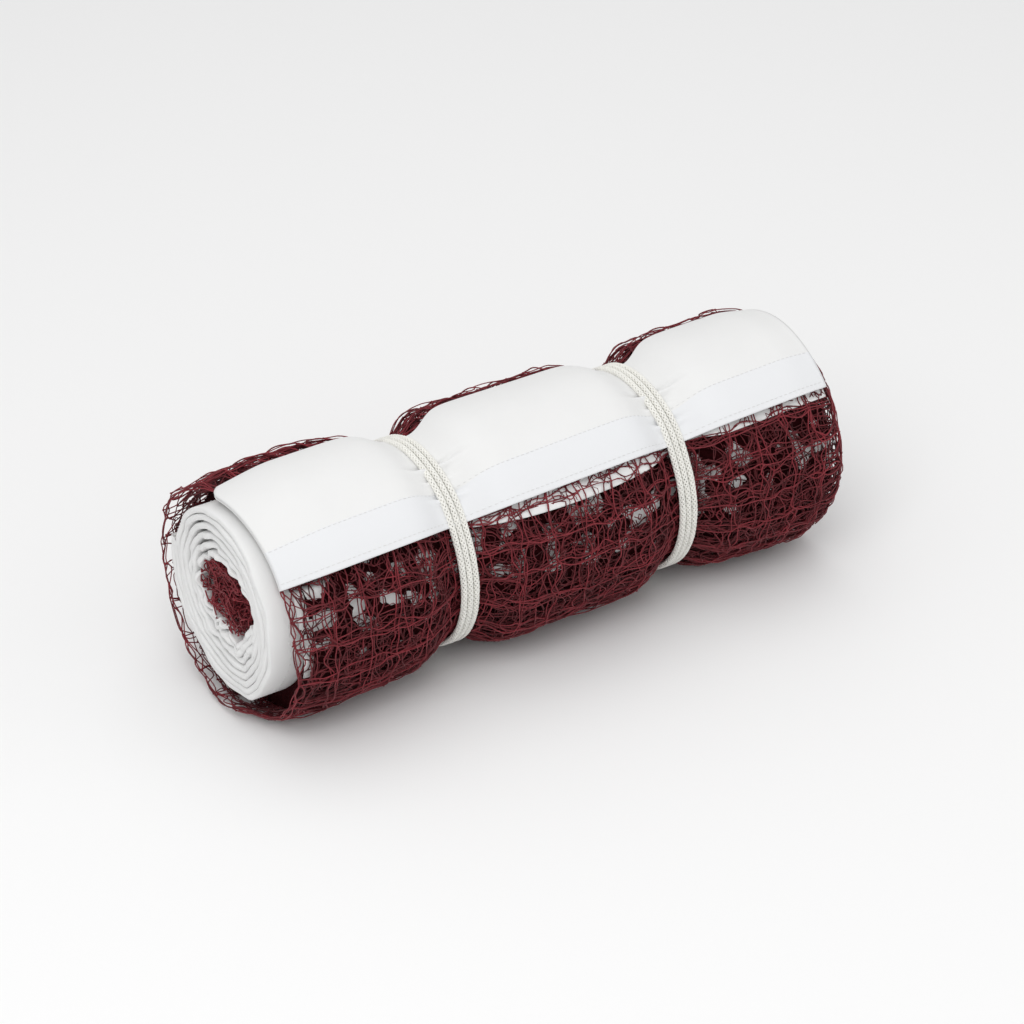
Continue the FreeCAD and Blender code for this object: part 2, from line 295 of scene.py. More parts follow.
class Ply:
    """One layer of netting, wrapped once round the roll.

    Plies share one slow warp, so that their meshes stay roughly in register, and each
    has its own shift, unevenness and slack.
    """

    def __init__(self, seed, depth, untidy, slack, loft_share=0.0):
        self.random = random.Random(seed)
        self.loft_share = loft_share
        self.inset = 0 if depth < 1.35 * MM else (5 + abs(self.random.gauss(4, 4))) * MM
        self.seed = seed
        self.depth = depth
        self.untidy = untidy
        self.slack = slack
        self.mesh = settings().mesh_size
        self.columns = round(2 * math.pi * BULGE / self.mesh)
        self.rows = round((RIGHT_END - LEFT_END) / self.mesh) + 1
        self.shift = (self.random.gauss(0, untidy * 0.6), self.random.gauss(0, untidy * 0.6))
        self.knots = {}

    def warp(self, x, angle, grain, seed):
        """A slow two-way unevenness."""
        turn = BULGE / grain
        where = Vector((x / grain + seed, turn * math.cos(angle), turn * math.sin(angle)))
        return noise.noise_vector(where)

    def knot(self, row, column):
        """Where a knot lies, as x, angle and extra depth."""
        key = (row, column % self.columns)
        if key not in self.knots:
            angle = 2 * math.pi * key[1] / self.columns
            start = netting_left_edge(angle) + self.inset
            x = mix(start, RIGHT_END + 1 * MM, row / (self.rows - 1))
            shared = self.warp(x, angle, 55 * MM, 11.3) * 5 * MM
            own = self.warp(x, angle, 40 * MM, self.seed * 7.7) * self.untidy * 1.6
            inside = min(1, row / 2, (self.rows - 1 - row) / 1.5)
            x += inside * (shared.x + own.x + self.shift[0])
            x += self.random.gauss(0, self.untidy * mix(0.15, 0.3, inside))
            about = shared.y + own.y + self.shift[1] + self.random.gauss(0, self.untidy * 0.3)
            self.knots[key] = (x, angle + about / BULGE, self.random.uniform(0, 1.6 * MM))
        return self.knots[key]

    def span(self, start, end):
        """Points of slack twine between two knots, the first knot included."""
        turn = end[1] - start[1]
        if turn < -math.pi:
            turn += 2 * math.pi
        bow = [self.random.gauss(0, self.slack) for _ in range(4)]
        points = [start]
        for step in (1, 2, 3):
            share = step / 4
            arch = math.sin(math.pi * share)
            wave = math.sin(2 * math.pi * share)
            x = mix(start[0], end[0], share) + bow[0] * arch + bow[1] * wave
            about = bow[2] * arch + bow[3] * wave
            angle = start[1] + turn * share + about / BULGE
            extra = mix(start[2], end[2], share) + self.random.uniform(-0.8, 0.9) * MM
            points.append((x, angle, extra))
        return points

    def place(self, spot):
        """The point in space of x, angle and extra depth."""
        x, angle, extra = spot
        start = netting_left_edge(angle) + 0.7 * self.inset - 1.2 * MM
        x = min(max(x, start), RIGHT_END + 3.5 * MM)
        radius = netting_face(x, angle) + self.loft_share * loft(x, angle)
        point = at(x, angle, radius - self.depth - extra)
        point.z = max(point.z, 0.6 * MM + self.depth * 0.8)
        return point

    def lines(self):
        """The ply's threads: lengthways ones, then hoops."""
        threads = []
        for column in range(self.columns):
            spots = []
            for row in range(self.rows - 1):
                spots += self.span(self.knot(row, column), self.knot(row + 1, column))
            spots.append(self.knot(self.rows - 1, column))
            points = [self.place(spot) for spot in spots]
            tuck = self.place(spots[-1])
            tuck.x -= 9 * MM
            axis = Vector((tuck.x, 0, AXIS_Z))
            points.append(axis + (tuck - axis) * 0.9)
            threads.append((points, False))
        for row in range(self.rows):
            spots = []
            for column in range(self.columns):
                spots += self.span(self.knot(row, column), self.knot(row, column + 1))
            threads.append(([self.place(spot) for spot in spots], True))
        return threads


def repeat(unit, shapes, mesh):
    """Add a small mesh once for each shape it takes."""
    bm = bmesh.new()
    bm.from_mesh(mesh)
    for shape in shapes:
        unit.transform(shape)
        bm.from_mesh(unit)
        unit.transform(shape.inverted())
    bm.to_mesh(mesh)
    bm.free()
    bpy.data.meshes.remove(unit)


def add_knots(mesh, places, size):
    """Add a small lump of twine at each place."""
    bm = bmesh.new()
    bmesh.ops.create_icosphere(bm, subdivisions=1, radius=size)
    lump = bpy.data.meshes.new("lump")
    bm.to_mesh(lump)
    bm.free()
    chance = random.Random(5)
    axis = Vector((1, 0.4, 0.2)).normalized()
    repeat(lump, [Matrix.Translation(place) @ Matrix.Rotation(chance.uniform(0, math.pi), 4, axis)
                  @ Matrix.Diagonal((1, 0.7, 0.8, 1)) for place in places], mesh)


def stitch_piece(name, spots, node):
    """A row of stitches, given as pairs of a place and a place just ahead of it."""
    bm = bmesh.new()
    bmesh.ops.create_uvsphere(bm, u_segments=6, v_segments=4, radius=1)
    stitch = bpy.data.meshes.new("stitch")
    bm.to_mesh(stitch)
    bm.free()
    size = Matrix.Diagonal((1.15 * MM, 0.26 * MM, 0.2 * MM, 1))
    mesh = bpy.data.meshes.new(name)
    repeat(stitch, [Matrix.Translation(here)
                    @ (ahead - here).to_track_quat("X", "Z").to_matrix().to_4x4() @ size
                    for here, ahead in spots], mesh)
    finish_piece(name, mesh, seam_material(), [node])


def netting_piece(name, plies, replaced=(), deep=0.0):
    """Several plies of netting as one piece."""
    lines = []
    knots = []
    for ply in plies:
        lines += ply.lines()
        knots += [ply.place(spot) for spot in ply.knots.values()]
    mesh = strands(name, lines, settings().twine * mix(0.5, 0.42, deep))
    if deep < 0.5:
        add_knots(mesh, knots, settings().twine * 0.95)
    # deep also paints the twine darker, as painted shade of the deeper wraps.
    return finish_piece(name, mesh, twine_material(deep), replaced)


def plies(*choices):
    """Plies from rows of seed, then depth, untidiness and slack in millimetres, then loft."""
    return [Ply(seed, depth * MM, untidy * MM, slack * MM, *loft_share)
            for seed, depth, untidy, slack, *loft_share in choices]


class NET_OT_outer_wrap(bpy.types.Operator):
    """Build the last wrap of netting, which lies partly loose"""
    bl_idname = "net.outer_wrap"
    bl_label = "Outer wrap of netting"

    def execute(self, context):
        netting_piece("outer_wrap_netting",
                      plies((1, 0.1, 2.4, 1.4, 1.0), (2, 0.7, 3.0, 1.8, 0.6), (3, 1.3, 3.6, 2.0, 0.3)),
                      ["netting_outer_wrap", "bottom_selvage_line"])
        netting_piece("outer_wrap_slack_netting",
                      plies((11, 0.9, 6.5, 2.8, 0.7), (12, 1.4, 5.2, 2.4, 0.8), (13, 2.3, 7.0, 2.6, 0.5)),
                      deep=0.3)
        return {"FINISHED"}


class NET_OT_middle_wraps(bpy.types.Operator):
    """Build the netting under the last wrap"""
    bl_idname = "net.middle_wraps"
    bl_label = "Middle wraps of netting"

    def execute(self, context):
        netting_piece("middle_wraps_netting",
                      plies((4, 2.8, 4.0, 2.4), (5, 3.4, 6.0, 2.2), (6, 4.0, 7.0, 2.2)),
                      ["netting_middle_wraps"], deep=0.6)
        netting_piece("middle_wraps_slack_netting",
                      plies((14, 4.6, 5.0, 2.4), (15, 5.2, 8.0, 2.6), (16, 5.8, 8.0, 2.4)),
                      deep=0.8)
        return {"FINISHED"}


class NET_OT_crumpled(bpy.types.Operator):
    """Fill most of the deep meshes with crumpled netting, and leave some open"""
    bl_idname = "net.crumpled"
    bl_label = "Crumpled netting"

    def execute(self, context):
        guide = Ply(77, 0, 1.0 * MM, 0)
        guide.inset = 9 * MM
        chance = random.Random(78)
        halves = ([], [])
        for row in range(guide.rows - 1):
            for column in range(guide.columns):
                corners = [guide.knot(row, column), guide.knot(row + 1, column),
                           guide.knot(row, column + 1)]
                x = (corners[0][0] + corners[1][0]) / 2
                turn = math.remainder(corners[2][1] - corners[0][1], 2 * math.pi)
                angle = corners[0][1] + turn / 2
                fill = round(mix(3, 12, crowding(x, angle)))
                for _ in range(fill):
                    halves[x > 0].append((self.thread(guide, chance, x, angle), False))
        for side, lines in zip(("left", "right"), halves):
            mesh = strands(f"crumpled_{side}_netting", lines, settings().twine * 0.4, resolution=1)
            # The crumpled twine is painted darker: painted shade deep in the meshes.
            finish_piece(f"crumpled_{side}_netting", mesh, twine_material(0.5))
        return {"FINISHED"}

    def thread(self, guide, chance, x, angle):
        """A curly thread that stays about one mesh."""
        half = guide.mesh * 0.62
        along = chance.uniform(-half, half)
        about = chance.uniform(-half, half)
        depth = chance.uniform(1.6, 6.4) * MM
        heading = chance.uniform(0, 2 * math.pi)
        points = []
        for _ in range(10):
            heading += chance.gauss(0, 0.75)
            along += 3.4 * MM * math.cos(heading)
            about += 3.4 * MM * math.sin(heading)
            if max(abs(along), abs(about)) > half:
                heading += 1.6
            depth += chance.gauss(0, 0.7 * MM)
            where = (x + along, angle + about / BULGE, min(max(depth, 1.2 * MM), 6.8 * MM))
            points.append(guide.place(where))
        return points


class NET_OT_inner_wraps(bpy.types.Operator):
    """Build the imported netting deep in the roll"""
    bl_idname = "net.inner_wraps"
    bl_label = "Inner wraps of netting"

    def execute(self, context):
        start = LEFT_END + 19 * MM
        end = RIGHT_END - 6 * MM

        def place(along, around):
            angle = 2 * math.pi * around
            x = mix(start, end, min(max((along - 0.06) / 0.79, 0), 1))
            radius = netting_face(x, angle) - mix(10.4, 6.2, crowding(x, angle)) * MM
            radius += 0.8 * MM * lumps(x, angle, 6 * MM, 2.0)
            radius = mix(52 * MM, radius, smooth(0, 0.06, along))
            if along > 0.85:
                inward = (along - 0.85) / 0.15
                radius = mix(radius, 3 * MM, inward)
                x = end - 5 * MM * smooth(0, 0.3, inward) + 2 * MM * lumps(radius, angle, 7 * MM, 8.0)
            return at(x, angle, radius)

        mesh = cloth("inner_wraps_netting", 190, 160, place, (0.3, 0.4), closed=True)
        finish_piece("inner_wraps_netting", mesh, packed_shade_material(),
                     ["netting_inner_wraps"])
        return {"FINISHED"}


class NET_OT_right_folds(bpy.types.Operator):
    """Build the rings of folded netting that show on the right end"""
    bl_idname = "net.right_folds"
    bl_label = "Folds on the right end"

    def execute(self, context):
        chance = random.Random(33)
        lines = []
        for ring in range(8):
            middle = (14 + 6.6 * ring) * MM
            count = max(int(2 * math.pi * middle / (6.5 * MM)), 8)
            for loop in range(count):
                angle = 2 * math.pi * (loop + chance.uniform(-0.4, 0.4)) / count
                reach = RIGHT_END - chance.uniform(0, 5) * MM
                lean = chance.gauss(0, 5 * MM) / middle
                half = chance.uniform(2.2, 3.6) * MM
                spots = ((-15, -half, -lean), (-7, -half * 1.1, -lean / 2), (-1, -half * 0.7, 0),
                         (0, half * 0.1, lean / 3), (-2, half * 0.9, lean / 2), (-8, half, lean),
                         (-15, half * 0.9, lean * 1.3))
                lines.append(([at(reach + dx * MM, angle + turn, middle + out)
                               for dx, out, turn in spots], False))
            for hoop in range(3):
                base = RIGHT_END - chance.uniform(1, 7) * MM
                side = chance.uniform(-3, 3) * MM
                steps = max(int(2 * math.pi * middle / (5 * MM)), 14)
                lines.append(([at(base + chance.gauss(0, 1.2 * MM), 2 * math.pi * step / steps,
                                  middle + side + chance.gauss(0, 1.1 * MM))
                               for step in range(steps)], True))
        mesh = strands("right_fold_netting", lines, settings().twine / 2)
        finish_piece("right_fold_netting", mesh, twine_material())
        return {"FINISHED"}


class NET_OT_inner_tape(bpy.types.Operator):
    """Build the side tape of the folded-under half, seen through the meshes"""
    bl_idname = "net.inner_tape"
    bl_label = "Inner side tape"

    def execute(self, context):
        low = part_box("inner_side_tape")
        start = LEFT_END + 14 * MM

        def place(along, across):
            x = mix(start, low[1].x, along)
            angle = math.radians(mix(32, 106, across))
            radius = netting_face(x, angle) - 8.6 * MM + 0.8 * MM * lumps(x, angle, 22 * MM, 5.0)
            return at(x, angle, radius)

        mesh = cloth("inner_side_tape_cloth", 150, 60, place, (0.34, 0.08))
        piece = finish_piece("inner_side_tape_cloth", mesh, tape_material(),
                             ["inner_side_tape"])
        thicken(piece, 0.7 * MM)
        return {"FINISHED"}


# Side tape -----------------------------------------------------------------------------------

class NET_OT_side_tape(bpy.types.Operator):
    """Build the side tape: one strip folded over the netting's end, along the whole roll"""
    bl_idname = "net.side_tape"
    bl_label = "Side tape"

    def execute(self, context):
        left = SIDE_TAPE[0].x
        right = SIDE_TAPE[1].x

        def place(along, across):
            x = mix(left, right, along)
            outer = across > 0.5
            share = abs(2 * across - 1)
            back = tape_back_edge(x)
            low = tape_low_edge(x)
            if not outer:
                low += peek(x) / BULGE
            angle = mix(back, low, share)
            from_back = (angle - back) * BULGE
            from_corner = 16 * MM - min(from_back, 16 * MM)
            lean = 4 * MM * smooth(back, low, angle)
            x = mix(left + lean + 0.5 * from_corner ** 2 / (16 * MM), right, along)
            fold = min(1, from_back / (1.2 * MM))
            gap = 0.75 * MM * math.sqrt(1 - (1 - fold) ** 2)
            radius = tape_face(x, angle) - 0.75 * MM
            if outer:
                return at(x, angle, radius + gap)
            under = min(radius - gap, netting_face(x, angle) - 2.6 * MM)
            sunk = smooth(0, 14 * MM, from_back) * smooth(left + 8 * MM, left + 45 * MM, x)
            return at(x, angle, mix(radius - gap, under, sunk))

        mesh = cloth("side_tape_cloth", 210, 190, place, (0.354, 0.185))
        # The side tape's material paints a cool shade along its hem.
        piece = finish_piece("side_tape_cloth", mesh, tape_material(True), ["side_tape"])
        thicken(piece, 0.55 * MM)
        return {"FINISHED"}


class NET_OT_seams(bpy.types.Operator):
    """Sew the two rows of stitches along the side tape"""
    bl_idname = "net.seams"
    bl_label = "Side tape seams"

    def execute(self, context):
        for name, inset, node in (("edge_seam_stitches", 3.5 * MM, "side_tape_edge_seam"),
                                  ("hem_seam_stitches", HEM, "side_tape_hem_seam")):
            spots = []
            x = SIDE_TAPE[0].x + 6 * MM
            while x < SIDE_TAPE[1].x - 3 * MM:
                angle = tape_low_edge(x) - inset / BULGE
                spots.append([at(place, angle, tape_face(place, angle) + 0.3 * MM)
                              for place in (x, x + MM)])
                x += 3.1 * MM
            stitch_piece(name, spots, node)
        return {"FINISHED"}


# Headband ------------------------------------------------------------------------------------

def spiral_route(steps_per_turn=110):
    """The wound headband across the roll, as turns and radii, from one outer end to the other."""
    half = (HEADBAND[1].y - HEADBAND[0].y) / 2
    ply = 3.55 * MM
    turns = 3.5
    first = half - 1.6 * MM - (2 * turns) * ply
    route = []
    count = int(steps_per_turn * turns)
    for step in range(count, -1, -1):
        wound = step / steps_per_turn
        route.append((wound, first + ply + 2 * ply * wound))
    for step in range(1, 8):
        route.append((-0.008 * math.sin(math.pi * step / 8), mix(first + ply, first, step / 8)))
    for step in range(count + 1):
        wound = step / steps_per_turn
        route.append((wound, first + 2 * ply * wound))
    return route, first, half


HEAD_ROUTE, HEAD_FIRST, HEAD_HALF = spiral_route()
PLEATS = ((-84, 6.5, 8), (-115, 8.0, 7), (-139, 7.0, 7), (-165, 6.5, 8), (-50, 4.0, 9),
          (178, 3.0, 9), (30, 2.0, 10), (82, 1.5, 12))


def headband_middle(along, near):
    """Radius, angle and edge of the wound tape; near is 1 at its folded edge."""
    index = along * (len(HEAD_ROUTE) - 1)
    low = min(int(index), len(HEAD_ROUTE) - 2)
    wound, radius = [mix(a, b, index - low) for a, b in zip(HEAD_ROUTE[low], HEAD_ROUTE[low + 1])]
    angle = 2 * math.pi * wound + math.radians(100)
    core = 1 - smooth(HEAD_FIRST, HEAD_HALF - 4 * MM, radius)
    edge = LEFT_END - 2.0 * MM + 1.3 * MM * lumps(0.02 + radius * 9, angle, 18 * MM, 9.0)
    edge += 4 * MM * core ** 2 * (0.5 + lumps(0.5 + radius * 5, angle, 14 * MM, 2.0))
    radius -= (6.5 * math.cos(angle) ** 2 + 3 * max(math.cos(angle), 0)) * MM * core
    radius += (1.1 * core + 0.3) * MM * lumps(0.01 + radius * 3, angle, 20 * MM, 4.0)
    for centre, size, width in PLEATS:
        radius -= size * MM * core ** 2.5 * near * math.exp(-away_from(angle, centre) / width)
    radius += mix(2.6, 4.5, core) * MM * math.exp(-away_from(angle, 150) / 11)
    return radius - 0.6 * MM, angle, edge


class NET_OT_headband(bpy.types.Operator):
    """Wind the headband tape, folded over its headline, at the left end"""
    bl_idname = "net.headband"
    bl_label = "Headband"

    def execute(self, context):
        depth = HEADBAND[1].x - HEADBAND[0].x
        wall = 1.5 * MM

        def place(along, across):
            lean = abs(2 * across - 1)
            radius, angle, edge = headband_middle(along, 1 - smooth(0.1, 0.75, lean))
            if lean < 0.16:
                swing = math.pi / 2 * (1 - lean / 0.16)
                x = edge + 0.9 * MM * (1 - math.sin(swing))
                offset = wall * math.cos(swing) ** 0.7
            else:
                x = edge + 0.9 * MM + (lean - 0.16) / 0.84 * (depth - 5 * MM)
                offset = wall
            return at_mouth(x, angle, radius + math.copysign(offset, across - 0.5))

        mesh = cloth("headband_cloth", len(HEAD_ROUTE) - 1, 42, place, (1.8, 0.165))
        piece = finish_piece("headband_cloth", mesh, tape_material(), ["headband_tape"])
        thicken(piece, 0.5 * MM)
        return {"FINISHED"}


class NET_OT_headline(bpy.types.Operator):
    """Lay the headline in the headband's fold and sew the fold shut"""
    bl_idname = "net.headline"
    bl_label = "Headline and its seam"

    def execute(self, context):
        points = []
        for step in range(601):
            radius, angle, edge = headband_middle(step / 600, 1)
            points.append(at_mouth(edge + 3.4 * MM, angle, radius))
        mesh = strands("headline_line", [(points, False)], 1.1 * MM, sides=2)
        finish_piece("headline_line", mesh, braid_material(), ["headline_cord"])

        count = 460
        spots = []
        for step in range(count):
            pair = []
            for ahead in (0, 0.3):
                radius, angle, edge = headband_middle((step + ahead) / count, 0.6)
                pair.append(at_mouth(edge + 12 * MM, angle, radius + 1.85 * MM))
            spots.append(pair)
        stitch_piece("headband_stitches", spots, "headband_seam")
        return {"FINISHED"}


class NET_OT_core(bpy.types.Operator):
    """Bunch the netting that starts the roll in its core"""
    bl_idname = "net.core"
    bl_label = "Netting core"

    def execute(self, context):
        chance = random.Random(21)
        low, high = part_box("netting_core")
        hole = (high.y - low.y) / 2 - 1 * MM
        lines = []
        for strand in range(240):
            deep = strand / 240
            angle = chance.uniform(0, 2 * math.pi)
            near = 5 * max(math.cos(angle + math.radians(50)), 0)
            point = at_mouth(LEFT_END + (mix(13, 3, deep ** 2) - near + chance.gauss(0, 1.5)) * MM,
                             angle, hole * chance.uniform(0.1, 0.95))
            heading = Vector((0, chance.gauss(0, 1), chance.gauss(0, 1)))
            points = []
            for _ in range(12):
                heading += Vector((chance.gauss(0, 0.5), chance.gauss(0, 0.9), chance.gauss(0, 0.9)))
                heading.normalize()
                point = point + heading * 3.2 * MM
                away = Vector((0, point.y, point.z - AXIS_Z - HEAD_LIFT))
                reach = hole * (0.74 + 0.26 * abs(away.y) / max(away.length, MM))
                if away.length > reach:
                    point -= away * (1 - reach / away.length)
                    heading -= away.normalized() * 0.8
                point.x = min(max(point.x, LEFT_END - 1 * MM), LEFT_END + 20 * MM)
                points.append(point.copy())
            lines.append((points, False))
        mesh = strands("core_netting", lines, settings().twine / 2)
        add_knots(mesh, [points[5] for points, _ in lines[::2]], settings().twine)
        finish_piece("core_netting", mesh, twine_material(), ["netting_core"])

        def place(outward, around):
            angle = 2 * math.pi * around
            radius = mix(0.5 * MM, hole + 3 * MM, outward)
            x = LEFT_END + (11 + 8 * outward ** 2) * MM + 3 * MM * lumps(radius, angle, 8 * MM, 6.0)
            return at_mouth(x, angle, radius)

        mesh = cloth("core_packed_netting", 24, 72, place, (0.03, 0.15), closed=True)
        finish_piece("core_packed_netting", mesh, packed_shade_material())
        return {"FINISHED"}


# Ties ----------------------------------------------------------------------------------------

def cord_route(points, closed=False):
    """Close points along the smooth spline that has these control points."""
    curve = bpy.data.curves.new("route", "CURVE")
    curve.dimensions = "3D"
    curve.resolution_u = 14
    spline = curve.splines.new("NURBS")
    spline.points.add(len(points) - 1)
    for place, point in zip(spline.points, points):
        place.co = (*point, 1)
    spline.use_cyclic_u = closed
    spline.order_u = 3
    spline.use_endpoint_u = not closed
    holder = bpy.data.objects.new("route", curve)
    mesh = bpy.data.meshes.new_from_object(holder)
    bpy.data.objects.remove(holder)
    bpy.data.curves.remove(curve)
    route = [vertex.co.copy() for vertex in mesh.vertices]
    bpy.data.meshes.remove(mesh)
    return route


def tie_route(tie, cord, turns=3, steps=24):
    """The line of a cord wound about the waist."""
    points = []
    for step in range(turns * steps + 1):
        wound = step / steps
        angle = 2 * math.pi * wound - math.radians(95)
        x = tie + (wound - turns / 2) * cord * 1.0
        over_tape = smooth(-0.08, 0.08, angle_in(angle, tape_back_edge(tie), tape_low_edge(tie)))
        rest = mix(netting_face(tie, angle), tape_face(tie, angle) + 0.2 * MM, over_tape)
        point = at(x, angle, rest + cord / 2)
        point.z = max(point.z, cord / 2 + 0.4 * MM)
        points.append(point)
    return cord_route(points)


def braid(route, cord, yarns=4, pitch=11 * MM, out_from=None):
    """The yarns of a round braid along a route, as lists of points."""
    lines = []
    travelled = [0.0]
    for here, ahead in zip(route, route[1:]):
        travelled.append(travelled[-1] + (ahead - here).length)
    for turn in (1, -1):
        for yarn in range(yarns):
            points = []
            for index, centre in enumerate(route):
                ahead = route[min(index + 1, len(route) - 1)]
                behind = route[max(index - 1, 0)]
                heading = (ahead - behind).normalized()
                out = centre - Vector((centre.x, 0, AXIS_Z)) if out_from is None else out_from
                side = heading.cross(out).normalized()
                out = side.cross(heading)
                angle = turn * 2 * math.pi * travelled[index] / pitch + 2 * math.pi * yarn / yarns
                weave = 0.25 * MM * turn * math.cos(yarns * angle)
                radius = cord / 2 - 0.55 * MM + weave
                points.append(centre + (side * math.cos(angle) + out * math.sin(angle) * 0.92) * radius)
            lines.append((points, False))
    return lines


def knot_lines(tie, cord):
    """A tied knot with two tails at the back of the roll, as cord routes."""
    y = BULGE - 5.5 * MM
    spots = ((0, -9, 0), (-2.5, -3, 1.5), (-5.5, 2.5, 3.2), (-1.5, 6.5, 4.2), (4.5, 4.5, 3.4),
             (5.5, -0.5, 2.2), (0.5, -3.5, 3.4), (-5.5, -1.5, 4.4), (-5, 4, 2.2), (1, 3.5, 1.2),
             (5.5, -3.5, 3.2), (5.5, -10, 3.4), (6.5, -16, 2.4), (5.2, -21, 1.6))
    first = [Vector((tie + x * MM, y + out * MM, AXIS_Z - 1 * MM + up * MM)) for x, up, out in spots]
    spots = ((0, 9, 0), (2.5, 4, 1.8), (-4.5, -1, 3.6), (-5.5, -7, 3.8), (-4.6, -13, 3.0),
             (-6.2, -18, 1.8))
    second = [Vector((tie + x * MM, y + out * MM, AXIS_Z - 1 * MM + up * MM)) for x, up, out in spots]
    return [cord_route(first), cord_route(second)]


class NET_OT_ties(bpy.types.Operator):
    """Wind and braid the two ties"""
    bl_idname = "net.ties"
    bl_label = "Braided ties"

    def execute(self, context):
        cord = settings().cord
        for side, tie in zip(("left", "right"), TIES):
            lines = braid(tie_route(tie, cord), cord)
            mesh = strands(f"tie_{side}_braid", lines, 0.62 * MM, resolution=1)
            finish_piece(f"tie_{side}_braid", mesh, braid_material(),
                         [f"tie_cord_{side}"])
            lines = []
            for route in knot_lines(tie, cord):
                lines += braid(route, cord, out_from=Vector((0.1, 1, 0.1)))
            mesh = strands(f"tie_{side}_knot", lines, 0.62 * MM, resolution=1)
            finish_piece(f"tie_{side}_knot", mesh, braid_material(),
                         [f"tie_knot_{side}"])
        return {"FINISHED"}


# Materials -----------------------------------------------------------------------------------

class Socket:
    """A node's output; sums and products of it add Math nodes to its tree."""

    def __init__(self, shader, output):
        self.shader = shader
        self.output = output

    def math(self, operation, other):
        return self.shader.add("ShaderNodeMath", {0: self, 1: other}, operation=operation)

    def __add__(self, other):
        return self.math("ADD", other)

    def __mul__(self, other):
        return self.math("MULTIPLY", other)

    def __rsub__(self, other):
        return self.shader.add("ShaderNodeMath", {0: other, 1: self}, operation="SUBTRACT")

    def sine(self):
        return self.math("SINE", 0.0)

    __radd__ = __add__
    __rmul__ = __mul__


class Shader:
    """A material and its Principled shader."""

    def __init__(self, name, **constants):
        self.material = bpy.data.materials.new(name)
        self.material.use_nodes = True
        self.tree = self.material.node_tree
        self.principled = self.tree.nodes["Principled BSDF"]
        for socket, value in constants.items():
            self.principled.inputs[socket.replace("_", " ")].default_value = value

    def add(self, kind, inputs=None, output=0, **choices):
        """Add any node: its settings first, then the values or links of its sockets."""
        node = self.tree.nodes.new(kind)
        for choice, value in choices.items():
            setattr(node, choice, value)
        for socket, value in (inputs or {}).items():
            if isinstance(value, Socket):
                self.tree.links.new(value.output, node.inputs[socket])
            else:
                node.inputs[socket].default_value = value
        return Socket(self, node.outputs[output])

    def drive(self, socket, value):
        """Feed one of the Principled shader's sockets."""
        self.tree.links.new(value.output, self.principled.inputs[socket])

    def coordinates(self, kind="Object"):
        """Where the surface is, in metres."""
        return self.add("ShaderNodeTexCoord", output=kind)

    def noise(self, where, scale, detail=3.0, output="Fac"):
        """Fractal noise at a scale."""
        return self.add("ShaderNodeTexNoise", {"Vector": where, "Scale": scale, "Detail": detail},
                        output=output)

    def blend(self, share, first, second):
        """One colour turning into another."""
        return self.add("ShaderNodeMix", {0: share, 6: first, 7: second}, output=2,
                        data_type="RGBA")

    def relief(self, height, strength, distance):
        """Feed a height to the Normal socket."""
        bump = self.add("ShaderNodeBump", {"Height": height, "Strength": strength,
                                           "Distance": distance})
        self.drive("Normal", bump)


def once(make):
    """Make a material the first time it is asked for with each choice."""
    made = {}

    def get(*choice):
        if choice not in made:
            made[choice] = make(*choice).material
        return made[choice]
    return get


def shade(colour, factor):
    """A colour made lighter or darker."""
    return (*(min(channel * factor, 1) for channel in colour), 1)


@once
def twine_material(deep=0.0):
    """Maroon polyester twine, uneven in its dye and twisted; deep wraps are painted darker, as painted
    shade of the wraps above them.
    """
    shader = Shader("maroon_twine", Roughness=0.6, Specular_IOR_Level=0.4)
    maroon = settings().maroon
    where = shader.coordinates()
    cloud = shader.noise(where, 90, 4)
    # light paints the twine of deeper wraps darker: painted shade, since the real twine is one colour all
    # through.
    light = mix(1, 0.2, deep)
    shader.drive("Base Color", shader.blend(cloud, shade(maroon, 0.3 * light),
                                            shade(maroon, 1.9 * light)))
    shader.relief(shader.noise(where, 2200, 2), 0.5, 0.2 * MM)
    return shader


@once
def packed_shade_material():
    """Netting packed too deep to see as threads, painted far darker than the twine: painted shade deep in
    the roll.
    """
    shader = Shader("packed_twine_painted_shade", Roughness=0.9, Specular_IOR_Level=0.05)
    maroon = settings().maroon
    where = shader.coordinates()
    cloud = shader.noise(where, 260, 6)
    # Painted shade: the twine's maroon made far darker, varied at random by the cloud.
    shader.drive("Base Color", shader.blend(cloud, shade(maroon, 0.02), shade(maroon, 0.22)))
    shader.relief(shader.noise(where, 600, 6), 0.9, 2 * MM)
    return shader


@once
def tape_material(shaded_hem=False):
    """White woven tape; along the hem it is painted a little cooler, a painted cool shade on the tape's
    lower band.
    """
    shader = Shader("white_tape", Roughness=0.75, Sheen_Weight=0.15, Sheen_Roughness=0.5)
    where = shader.coordinates("UV")
    split = shader.add("ShaderNodeSeparateXYZ", {0: where})
    across = Socket(shader, split.output.node.outputs[1])
    thread = 2 * math.pi / (0.55 * MM)
    weave = (split * thread).sine() * (across * thread).sine()
    cloud = shader.noise(where, 40, 3)
    tape = settings().tape
    colour = shader.blend(cloud, shade(tape, 0.96), shade(tape, 1.0))
    if shaded_hem:
        # Painted cool shade: the band along the hem, lower on the front of the tape, is tinted cooler.
        hem_shade_mask = across.math("GREATER_THAN", 0.185 - 1.044 * HEM)
        painted_cool_shade = (tape[0] * 0.965, tape[1] * 0.975, tape[2] * 1.0, 1)
        colour = shader.blend(hem_shade_mask, colour, painted_cool_shade)
    shader.drive("Base Color", colour)
    shader.relief(weave + shader.noise(where, 900, 3), 0.25, 0.12 * MM)
    return shader


@once
def seam_material():
    """White sewing thread."""
    shader = Shader("seam_thread", Roughness=0.5)
    where = shader.coordinates()
    cloud = shader.noise(where, 400, 3)
    tape = settings().tape
    shader.drive("Base Color", shader.blend(cloud, shade(tape, 0.78), shade(tape, 0.95)))
    shader.relief(shader.noise(where, 3000, 2), 0.4, 0.1 * MM)
    return shader


